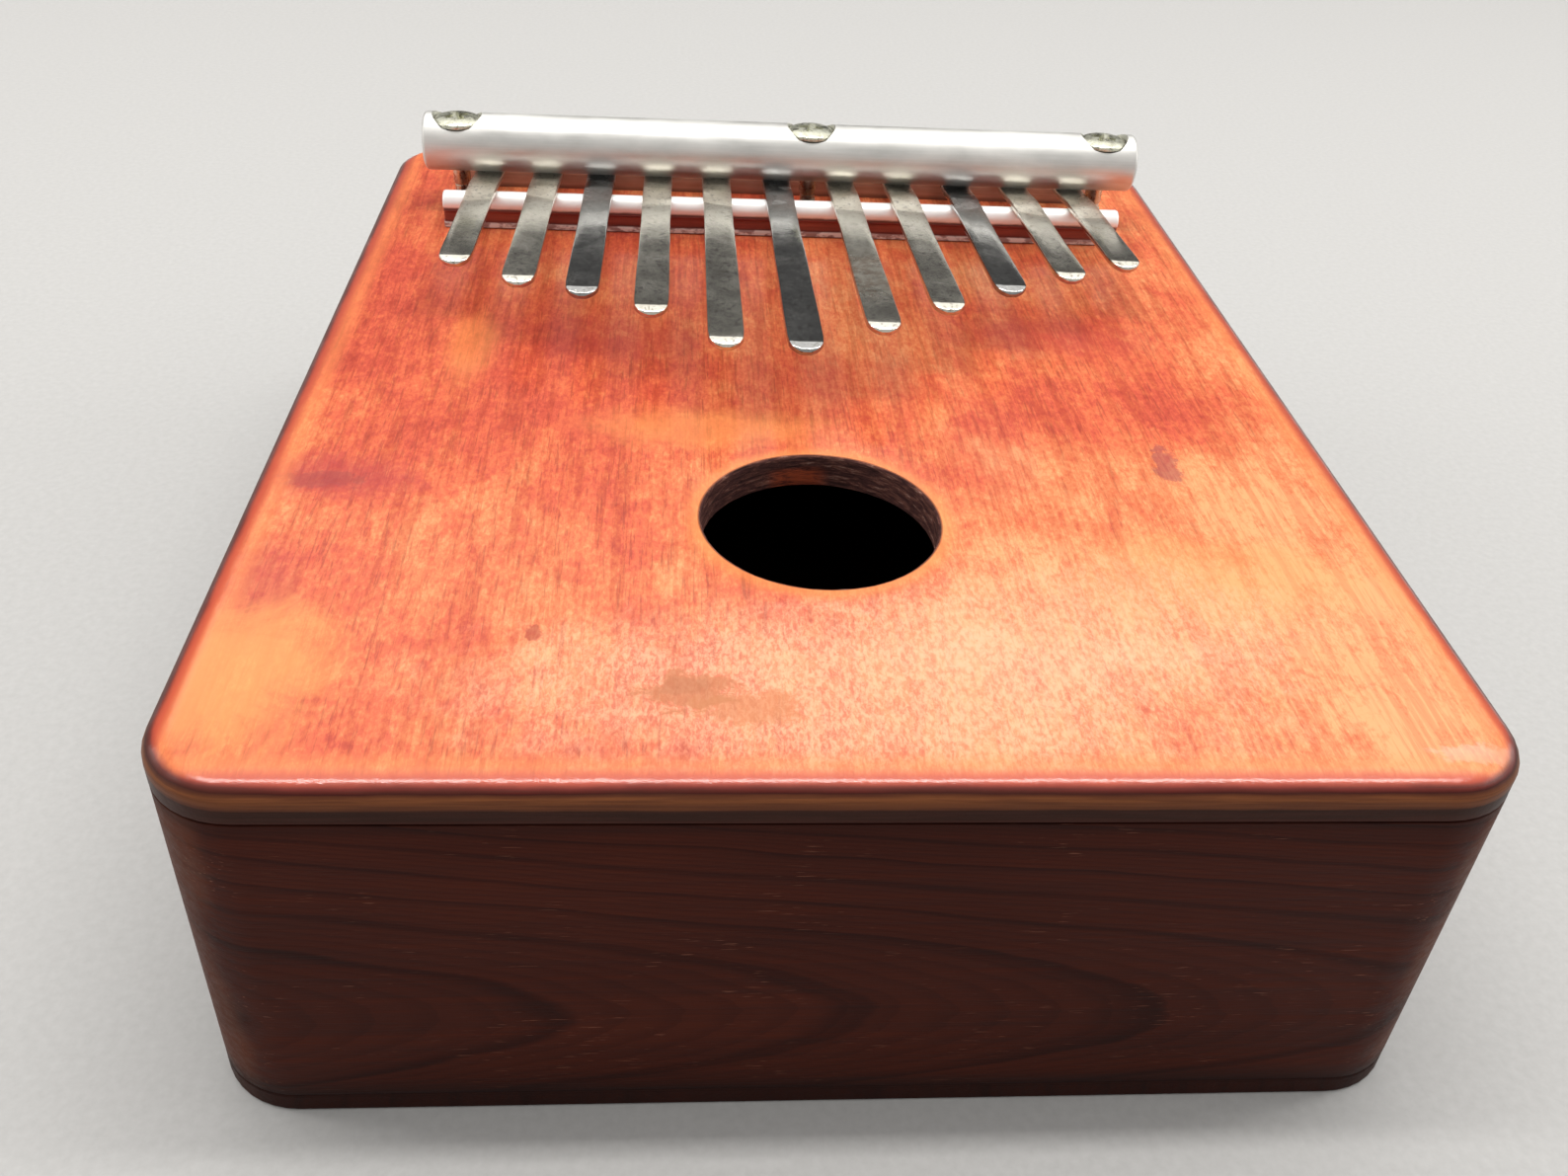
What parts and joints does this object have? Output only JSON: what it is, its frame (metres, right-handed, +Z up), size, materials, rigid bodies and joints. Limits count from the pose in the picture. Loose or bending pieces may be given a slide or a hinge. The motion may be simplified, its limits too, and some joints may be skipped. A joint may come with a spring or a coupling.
{
  "type": "mbira",
  "caption": "Box mbira: flat steel tines clamped by a round bar over a hollow wooden box with a round sound hole in its plywood top.",
  "frame": {"origin": "centre of the underside of the box, on the surface it stands on", "axes": "+X to the player's right, +Y along the box away from the player towards the pressure bar, +Z up out of the soundboard"},
  "size_m": [0.12, 0.15, 0.0562],
  "materials": {
    "stained_plywood": "red-orange stain under semi-gloss varnish, plywood edge showing",
    "dark_hardwood": "satin dark red-brown stain",
    "pale_hardwood": "bare planed wood",
    "bridge_wood": "dark red-brown varnish",
    "spring_steel": "tarnished flat spring steel, hammered tips",
    "bright_rod": "polished wire",
    "aluminium_bar": "hand polished",
    "zinc_screw": "zinc plated, slightly yellow"
  },
  "bodies": {
    "box": {"soundboard": "stained_plywood", "front_wall": "dark_hardwood", "rear_wall": "dark_hardwood", "left_wall": "dark_hardwood", "right_wall": "dark_hardwood", "back_plate": "dark_hardwood", "bridge_brace": "pale_hardwood", "front_bridge": "bridge_wood", "front_bridge_rod": "bright_rod", "rear_bridge": "bridge_wood", "pressure_bar": "aluminium_bar", "bar_screw_left": "zinc_screw", "bar_screw_middle": "zinc_screw", "bar_screw_right": "zinc_screw"},
    "tine_1_heel": {"tine_1_heel": "spring_steel"},
    "tine_1_tongue": {"tine_1_tongue": "spring_steel"},
    "tine_2_heel": {"tine_2_heel": "spring_steel"},
    "tine_2_tongue": {"tine_2_tongue": "spring_steel"},
    "tine_3_heel": {"tine_3_heel": "spring_steel"},
    "tine_3_tongue": {"tine_3_tongue": "spring_steel"},
    "tine_4_heel": {"tine_4_heel": "spring_steel"},
    "tine_4_tongue": {"tine_4_tongue": "spring_steel"},
    "tine_5_heel": {"tine_5_heel": "spring_steel"},
    "tine_5_tongue": {"tine_5_tongue": "spring_steel"},
    "tine_6_heel": {"tine_6_heel": "spring_steel"},
    "tine_6_tongue": {"tine_6_tongue": "spring_steel"},
    "tine_7_heel": {"tine_7_heel": "spring_steel"},
    "tine_7_tongue": {"tine_7_tongue": "spring_steel"},
    "tine_8_heel": {"tine_8_heel": "spring_steel"},
    "tine_8_tongue": {"tine_8_tongue": "spring_steel"},
    "tine_9_heel": {"tine_9_heel": "spring_steel"},
    "tine_9_tongue": {"tine_9_tongue": "spring_steel"},
    "tine_10_heel": {"tine_10_heel": "spring_steel"},
    "tine_10_tongue": {"tine_10_tongue": "spring_steel"},
    "tine_11_heel": {"tine_11_heel": "spring_steel"},
    "tine_11_tongue": {"tine_11_tongue": "spring_steel"}
  },
  "joints": [
    {"name": "tine_1_tuning", "type": "slide", "parent": "box", "child": "tine_1_heel", "axis": [0, 1, 0], "range_m": [-0.0008, 0.0008]},
    {"name": "tine_1_pluck", "type": "hinge", "parent": "tine_1_heel", "child": "tine_1_tongue", "pos_m": [-0.0436, 0.0412, 0.04855], "axis": [1, 0, 0], "range_deg": [-3, 4], "stiffness_Nm_per_rad": 3.56},
    {"name": "tine_2_tuning", "type": "slide", "parent": "box", "child": "tine_2_heel", "axis": [0, 1, 0], "range_m": [-0.0008, 0.0008]},
    {"name": "tine_2_pluck", "type": "hinge", "parent": "tine_2_heel", "child": "tine_2_tongue", "pos_m": [-0.03508, 0.0412, 0.04855], "axis": [1, 0, 0], "range_deg": [-3, 4], "stiffness_Nm_per_rad": 2.91},
    {"name": "tine_3_tuning", "type": "slide", "parent": "box", "child": "tine_3_heel", "axis": [0, 1, 0], "range_m": [-0.0008, 0.0008]},
    {"name": "tine_3_pluck", "type": "hinge", "parent": "tine_3_heel", "child": "tine_3_tongue", "pos_m": [-0.02716, 0.0412, 0.04855], "axis": [1, 0, 0], "range_deg": [-3, 4], "stiffness_Nm_per_rad": 2.68},
    {"name": "tine_4_tuning", "type": "slide", "parent": "box", "child": "tine_4_heel", "axis": [0, 1, 0], "range_m": [-0.0008, 0.0008]},
    {"name": "tine_4_pluck", "type": "hinge", "parent": "tine_4_heel", "child": "tine_4_tongue", "pos_m": [-0.01874, 0.0412, 0.04855], "axis": [1, 0, 0], "range_deg": [-3, 4], "stiffness_Nm_per_rad": 2.36},
    {"name": "tine_5_tuning", "type": "slide", "parent": "box", "child": "tine_5_heel", "axis": [0, 1, 0], "range_m": [-0.0008, 0.0008]},
    {"name": "tine_5_pluck", "type": "hinge", "parent": "tine_5_heel", "child": "tine_5_tongue", "pos_m": [-0.01012, 0.0412, 0.04855], "axis": [1, 0, 0], "range_deg": [-3, 4], "stiffness_Nm_per_rad": 1.96},
    {"name": "tine_6_tuning", "type": "slide", "parent": "box", "child": "tine_6_heel", "axis": [0, 1, 0], "range_m": [-0.0008, 0.0008]},
    {"name": "tine_6_pluck", "type": "hinge", "parent": "tine_6_heel", "child": "tine_6_tongue", "pos_m": [-0.0011, 0.0412, 0.04855], "axis": [1, 0, 0], "range_deg": [-3, 4], "stiffness_Nm_per_rad": 1.93},
    {"name": "tine_7_tuning", "type": "slide", "parent": "box", "child": "tine_7_heel", "axis": [0, 1, 0], "range_m": [-0.0008, 0.0008]},
    {"name": "tine_7_pluck", "type": "hinge", "parent": "tine_7_heel", "child": "tine_7_tongue", "pos_m": [0.00852, 0.0412, 0.04855], "axis": [1, 0, 0], "range_deg": [-3, 4], "stiffness_Nm_per_rad": 2.18},
    {"name": "tine_8_tuning", "type": "slide", "parent": "box", "child": "tine_8_heel", "axis": [0, 1, 0], "range_m": [-0.0008, 0.0008]},
    {"name": "tine_8_pluck", "type": "hinge", "parent": "tine_8_heel", "child": "tine_8_tongue", "pos_m": [0.01724, 0.0412, 0.04855], "axis": [1, 0, 0], "range_deg": [-3, 4], "stiffness_Nm_per_rad": 2.53},
    {"name": "tine_9_tuning", "type": "slide", "parent": "box", "child": "tine_9_heel", "axis": [0, 1, 0], "range_m": [-0.0008, 0.0008]},
    {"name": "tine_9_pluck", "type": "hinge", "parent": "tine_9_heel", "child": "tine_9_tongue", "pos_m": [0.02616, 0.0412, 0.04855], "axis": [1, 0, 0], "range_deg": [-3, 4], "stiffness_Nm_per_rad": 2.99},
    {"name": "tine_10_tuning", "type": "slide", "parent": "box", "child": "tine_10_heel", "axis": [0, 1, 0], "range_m": [-0.0008, 0.0008]},
    {"name": "tine_10_pluck", "type": "hinge", "parent": "tine_10_heel", "child": "tine_10_tongue", "pos_m": [0.03508, 0.0412, 0.04855], "axis": [1, 0, 0], "range_deg": [-3, 4], "stiffness_Nm_per_rad": 3.51},
    {"name": "tine_11_tuning", "type": "slide", "parent": "box", "child": "tine_11_heel", "axis": [0, 1, 0], "range_m": [-0.0008, 0.0008]},
    {"name": "tine_11_pluck", "type": "hinge", "parent": "tine_11_heel", "child": "tine_11_tongue", "pos_m": [0.0436, 0.0412, 0.04855], "axis": [1, 0, 0], "range_deg": [-3, 4], "stiffness_Nm_per_rad": 4.2}
  ]
}
